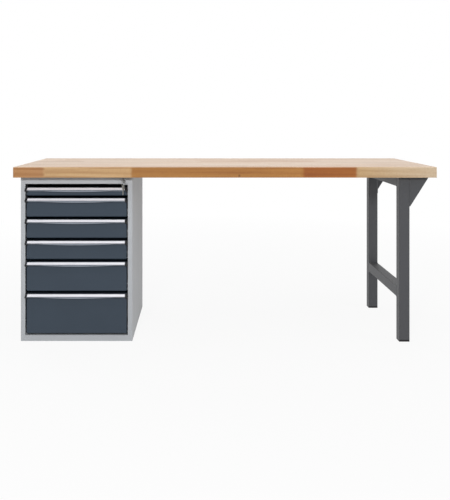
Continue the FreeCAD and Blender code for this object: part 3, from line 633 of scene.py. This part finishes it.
label_shape, label_keys = label_tree()
rib_shape, rib_keys = rib_tree()
for number in range(1, 7):
    length, place, tilt = grip_face(f"drawer_{number}_grip")
    sizes = {"Length": length - LABEL_SHORTER, "Width": LABEL_WIDTH,
             "Thickness": LABEL_THICKNESS, "Corner": LABEL_CORNER, "Tilt": tilt, "Place": place}
    mesh = run_shape_tree(label_shape, label_keys, sizes, bpy.data.meshes.new("none"))
    add_piece(f"label_strip_{number}", mesh, f"drawer_{number}")
    sizes = {"Length": length - RIB_SHORTER, "Apart": LABEL_WIDTH + RIB_RADIUS * 2,
             "Radius": RIB_RADIUS, "Tilt": tilt, "Place": place}
    mesh = run_shape_tree(rib_shape, rib_keys, sizes, bpy.data.meshes.new("none"))
    add_piece(f"label_ribs_{number}", mesh, f"drawer_{number}")
print("grips", round(length * 1000), "mm long")

# %% [markdown]
# ## Weld beads
# The leg frame is welded. Along each inside corner runs a bead with the fine ripples that the
# welder's steps leave, painted over with the frame. A round tube follows the corner, its radius
# swings with the distance along the line, and half of it is buried in the steel.

# %% Weld beads
BEAD_RADIUS = 0.0022
BEAD_SIDES = 10
RIPPLE_LENGTH = 0.0024
RIPPLE_SHARE = 0.16
STEPS_PER_RIPPLE = 4


def bead_tree():
    tree, sizes, keys = new_shape_tree("weld_bead", [
        ("Radius", "Float"), ("Ripple", "Float"), ("Step", "Float")])
    path = put(tree, "MeshToCurve", {"Mesh": sizes["Geometry"]})
    points = put(tree, "ResampleCurve", {"Curve": path.outputs[0], "Length": sizes["Step"]},
                 mode="LENGTH")
    along = put(tree, "SplineParameter").outputs["Length"]
    turns = calc(tree, "DIVIDE", along, sizes["Ripple"])
    wave = calc(tree, "PINGPONG", turns, 0.5)
    share = calc(tree, "MULTIPLY_ADD", wave, RIPPLE_SHARE * 2, 1 - RIPPLE_SHARE)
    section = put(tree, "CurvePrimitiveCircle", {"Radius": sizes["Radius"],
                                                 "Resolution": BEAD_SIDES})
    tube = put(tree, "CurveToMesh", {"Curve": points.outputs[0], "Scale": share,
                                     "Profile Curve": section.outputs[0], "Fill Caps": True})
    end_shape_tree(tree, tube.outputs[0], frame_paint)
    return tree, keys


def weld_seams():
    """Start and end of each inside corner of the leg frame, in metres."""
    post_low, post_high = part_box("leg_front_post")
    left, right = post_low[0], post_high[0]
    seams = []
    for tube, heights in (("leg_top_beam", (0,)), ("leg_lower_rail", (0, 1))):
        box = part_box(tube)
        for side in (0, 1):
            for height in heights:
                y, z = box[side][1], box[height][2]
                seams.append(((left, y, z), (right, y, z)))
    for gusset in ("leg_gusset_front", "leg_gusset_rear"):
        low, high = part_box(gusset)
        for y in (low[1], high[1]):
            seams.append(((right, y, low[2]), (right, y, high[2] - BEAD_RADIUS)))
    return seams


def seam_mesh(seams):
    """The seams as loose edges."""
    points = [point for seam in seams for point in seam]
    edges = [(index, index + 1) for index in range(0, len(points), 2)]
    mesh = bpy.data.meshes.new("seams")
    mesh.from_pydata(points, edges, [])
    return mesh


bead_shape, bead_keys = bead_tree()
seams = weld_seams()
sizes = {"Radius": BEAD_RADIUS, "Ripple": RIPPLE_LENGTH, "Step": RIPPLE_LENGTH / STEPS_PER_RIPPLE}
beads = add_piece("weld_beads", run_shape_tree(bead_shape, bead_keys, sizes, seam_mesh(seams)),
                  "root")
print(len(seams), "weld seams,", len(beads.data.polygons), "faces")

# %% [markdown]
# ## Spot welds
# The cabinet's sheets are spot-welded, and each weld leaves a round dimple that paint doesn't
# hide. Points along the seams each carry one shallow ring, turned to lie on its panel. A ring
# has few faces, because there are many.

# %% Spot welds
SPOT_RADIUS = 0.0038
SPOT_SIDES = 14
SPOT_HEIGHT = 0.0006
RIM_SIDES = 6
SPOT_PITCH = 0.082
# How far the rows lie from a panel's edges, and how far from its corners they begin
SEAM_INSET = 0.012
SIDE_END_GAP = 0.04
SIDE_FRONT_GAP = 0.05
SIDE_BACK_GAP = 0.07
BACK_END_GAP = 0.09
QUARTER = math.pi / 2


def spot_tree():
    tree, sizes, keys = new_shape_tree("spot_welds", [
        ("Radius", "Float"), ("Height", "Float"), ("Turn", "Vector")])
    ring = put(tree, "CurvePrimitiveCircle", {"Radius": sizes["Radius"],
                                              "Resolution": SPOT_SIDES})
    section = put(tree, "CurvePrimitiveCircle", {"Radius": sizes["Height"],
                                                 "Resolution": RIM_SIDES})
    rim = put(tree, "CurveToMesh", {"Curve": ring.outputs[0], "Profile Curve": section.outputs[0]})
    dot = put(tree, "InstanceOnPoints", {"Points": sizes["Geometry"], "Instance": rim.outputs[0],
                                         "Rotation": sizes["Turn"]})
    end_shape_tree(tree, dot.outputs[0], cabinet_grey)
    return tree, keys


def spread_out(start, end, pitch):
    """Even places from start to end, about a pitch apart."""
    count = round((end - start) / pitch)
    return [start + (end - start) * step / count for step in range(count + 1)]


def side_spots(x):
    """Points along the seams at the back, top and foot of a side panel."""
    low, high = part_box("cabinet_side_left")
    ups = [(x, high[1] - SEAM_INSET, z)
           for z in spread_out(low[2] + SIDE_END_GAP, high[2] - SIDE_END_GAP, SPOT_PITCH)]
    overs = [(x, y, z)
             for y in spread_out(low[1] + SIDE_FRONT_GAP, high[1] - SIDE_BACK_GAP, SPOT_PITCH)
             for z in (low[2] + SEAM_INSET, high[2] - SEAM_INSET)]
    return ups + overs


def back_spots():
    """Points round the edge of the back panel."""
    low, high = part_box("cabinet_back")
    ups = [(x, high[1], z) for x in (low[0] + SEAM_INSET, high[0] - SEAM_INSET)
           for z in spread_out(low[2] + SEAM_INSET, high[2] - SEAM_INSET, SPOT_PITCH)]
    overs = [(x, high[1], z)
             for x in spread_out(low[0] + BACK_END_GAP, high[0] - BACK_END_GAP, SPOT_PITCH)
             for z in (low[2] + SEAM_INSET, high[2] - SEAM_INSET)]
    return ups + overs


spot_shape, spot_keys = spot_tree()
SPOT_GROUPS = [
    ("spot_welds_left", side_spots(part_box("cabinet_side_left")[0][0]), (0.0, -QUARTER, 0.0)),
    ("spot_welds_right", side_spots(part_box("cabinet_side_right")[1][0]), (0.0, QUARTER, 0.0)),
    ("spot_welds_back", back_spots(), (-QUARTER, 0.0, 0.0)),
]
for name, points, turn in SPOT_GROUPS:
    start_mesh = bpy.data.meshes.new("points")
    start_mesh.from_pydata(points, [], [])
    sizes = {"Radius": SPOT_RADIUS, "Height": SPOT_HEIGHT, "Turn": turn}
    mesh = run_shape_tree(spot_shape, spot_keys, sizes, start_mesh)
    add_piece(name, mesh, "root")
    print(name, len(points), "spots")

# %% [markdown]
# ## The spare key
# A second key hangs on the ring. Its outline is a flat curve with an eye and cut teeth, filled
# and given a thickness, because a stamped key has one even section. It is turned and leaned so
# that it hangs from the ring's lowest wire, clear of the top grip.

# %% Spare key
# Millimetres, with the eye's middle at 0, 0 and the tip below
KEY_OUTLINE = [
    (-3.4, 4.4), (3.4, 4.4), (7.6, 2.2), (9.6, -3.0), (9.8, -9.0), (8.6, -14.0), (5.4, -18.0),
    (3.9, -19.6), (3.9, -23.0), (3.1, -23.6), (3.1, -28.0), (1.6, -29.4), (1.6, -30.8),
    (3.0, -32.2), (3.0, -34.2), (0.9, -36.0), (0.9, -37.2), (2.2, -38.6), (2.2, -40.2),
    (1.2, -41.4), (1.2, -42.6), (0.2, -44.4), (-1.6, -45.4), (-3.1, -44.0), (-3.1, -23.6),
    (-3.9, -23.0), (-3.9, -19.6), (-5.4, -18.0), (-8.6, -14.0), (-9.8, -9.0), (-9.6, -3.0),
    (-7.6, 2.2),
]
EYE_RADIUS = 2.6
EYE_STEPS = 20
KEY_THICKNESS = 1.8
KEY_BEVEL = 0.2
KEY_TURN = math.radians(65)
KEY_LEAN = math.radians(-13)
KEY_FROM_RING = (0.0012, -0.0006)
MILLIMETRE = 0.001


def key_outline():
    """The outline and the eye as closed flat splines, in metres."""
    curve = bpy.data.curves.new("key_outline", "CURVE")
    curve.dimensions = "2D"
    curve.fill_mode = "BOTH"
    curve.extrude = KEY_THICKNESS * MILLIMETRE / 2
    curve.bevel_depth = KEY_BEVEL * MILLIMETRE
    turns = [math.tau * step / EYE_STEPS for step in range(EYE_STEPS)]
    eye = [(EYE_RADIUS * math.cos(turn), EYE_RADIUS * math.sin(turn)) for turn in turns]
    for points in (KEY_OUTLINE, eye):
        spline = curve.splines.new("POLY")
        spline.points.add(len(points) - 1)
        for point, (x, y) in zip(spline.points, points):
            point.co = (x * MILLIMETRE, y * MILLIMETRE, 0, 1)
        spline.use_cyclic_u = True
    return curve


def make_spare_key():
    source = bpy.data.objects.new("key_source", key_outline())
    bpy.context.scene.collection.objects.link(source)
    depsgraph = bpy.context.evaluated_depsgraph_get()
    mesh = bpy.data.meshes.new_from_object(source.evaluated_get(depsgraph))
    bpy.data.objects.remove(source)
    low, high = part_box("key_ring")
    eye = Vector(((low[0] + high[0]) / 2 + KEY_FROM_RING[0], (low[1] + high[1]) / 2,
                  low[2] + KEY_FROM_RING[1]))
    upright = Matrix.Rotation(math.radians(90), 4, "X")
    mesh.transform(Matrix.Translation(eye) @ Matrix.Rotation(KEY_LEAN, 4, "X")
                   @ Matrix.Rotation(KEY_TURN, 4, "Z") @ upright)
    shape = bmesh.new()
    shape.from_mesh(mesh)
    bmesh.ops.remove_doubles(shape, verts=shape.verts, dist=MERGE_DISTANCE)
    bmesh.ops.recalc_face_normals(shape, faces=shape.faces)
    shape.to_mesh(mesh)
    shape.free()
    mesh.materials.clear()
    mesh.materials.append(nickel)
    return add_piece("spare_key", mesh, "key_ring")


spare_key = make_spare_key()
print("spare key", len(spare_key.data.polygons), "faces")

# %% [markdown]
# ## Floor and light
# The bench stands on a plain white floor in studio light. A large lamp overhead, one at the
# right and one behind fill in softly; a smaller one at the front left draws the thin shadows
# under the grips. Only the lamp overhead shows in shiny surfaces, because the others would
# glare on the worktop in a view from behind. Camera rays see the surroundings as white, and
# shiny metal sees the same white, but it adds no light to the bench.

# %% Floor
FLOOR_REACH = 30.0
FLOOR_GREY = (0.52, 0.52, 0.52, 1)
NEAR_WHITE = 0.92
HAZE_START = 0.9
HAZE_END = 4.0


def make_floor():
    mesh = bpy.data.meshes.new("floor")
    corners = [(-FLOOR_REACH, -FLOOR_REACH, 0), (FLOOR_REACH, -FLOOR_REACH, 0),
               (FLOOR_REACH, FLOOR_REACH, 0), (-FLOOR_REACH, FLOOR_REACH, 0)]
    mesh.from_pydata(corners, [], [(0, 1, 2, 3)])
    floor = bpy.data.objects.new("floor", mesh)
    bpy.context.scene.collection.objects.link(floor)
    material = bpy.data.materials.new("floor_white")
    material.use_nodes = True
    tree = material.node_tree
    shader = tree.nodes["Principled BSDF"]
    shader.inputs["Base Color"].default_value = FLOOR_GREY
    shader.inputs["Roughness"].default_value = 0.8
    far_white = put(tree, "Emission", {"Color": (1, 1, 1, 1), "Strength": 1.0})
    place = put(tree, "TexCoord").outputs["Object"]
    distance = put(tree, "VectorMath", {0: place}, operation="LENGTH").outputs["Value"]
    far = put(tree, "MapRange", {"Value": distance, "From Min": HAZE_START,
                                 "From Max": HAZE_END})
    lift = calc(tree, "MULTIPLY_ADD", far.outputs[0], 1 - NEAR_WHITE, NEAR_WHITE)
    rays = put(tree, "LightPath")
    seen = calc(tree, "MAXIMUM", rays.outputs["Is Camera Ray"], rays.outputs["Is Glossy Ray"])
    share = calc(tree, "MULTIPLY", seen, lift)
    mixed = put(tree, "MixShader", {0: share, 1: shader.outputs[0], 2: far_white.outputs[0]})
    plug(tree, mixed.outputs[0], tree.nodes["Material Output"].inputs["Surface"])
    mesh.materials.append(material)


make_floor()

# %% Lamps and world
# Name, place, target, side of the square in metres, and power in watts
LAMPS = [
    ("top_lamp", (0.0, -0.5, 3.4), (0.0, 0.0, 0.4), 3.0, 56.0),
    ("key_lamp", (-0.9, -4.2, 1.9), (-0.1, 0.0, 0.5), 0.4, 113.0),
    ("right_lamp", (3.6, -1.2, 1.7), (-0.2, 0.0, 0.5), 2.0, 54.0),
    ("back_lamp", (-3.0, 3.2, 2.0), (-0.2, 0.0, 0.4), 2.6, 74.0),
]
WORLD_LEVEL = 0.13


def make_lamp(name, place, target, size, power):
    lamp_data = bpy.data.lights.new(name, "AREA")
    lamp_data.shape = "SQUARE"
    lamp_data.size = size
    lamp_data.energy = power
    lamp = bpy.data.objects.new(name, lamp_data)
    lamp.location = place
    aim = Vector(target) - Vector(place)
    lamp.rotation_euler = aim.to_track_quat("-Z", "Y").to_euler()
    bpy.context.scene.collection.objects.link(lamp)


def make_world():
    world = bpy.data.worlds.new("studio")
    bpy.context.scene.world = world
    world.use_nodes = True
    tree = world.node_tree
    tree.nodes.clear()
    rays = put(tree, "LightPath")
    seen = calc(tree, "MAXIMUM", rays.outputs["Is Camera Ray"], rays.outputs["Is Glossy Ray"])
    seen = calc(tree, "MAXIMUM", seen, rays.outputs["Is Transmission Ray"])
    room = put(tree, "Background", {"Color": (1, 1, 1, 1), "Strength": WORLD_LEVEL})
    white = put(tree, "Background", {"Color": (1, 1, 1, 1), "Strength": 1.0})
    mixed = put(tree, "MixShader", {0: seen, 1: room.outputs[0], 2: white.outputs[0]})
    output = put(tree, "OutputWorld")
    plug(tree, mixed.outputs[0], output.inputs["Surface"])


for lamp in LAMPS:
    make_lamp(*lamp)
for name in ("key_lamp", "right_lamp", "back_lamp"):
    bpy.data.objects[name].visible_glossy = False
make_world()
bpy.context.scene.view_settings.view_transform = "Standard"
print(len(LAMPS), "lamps")
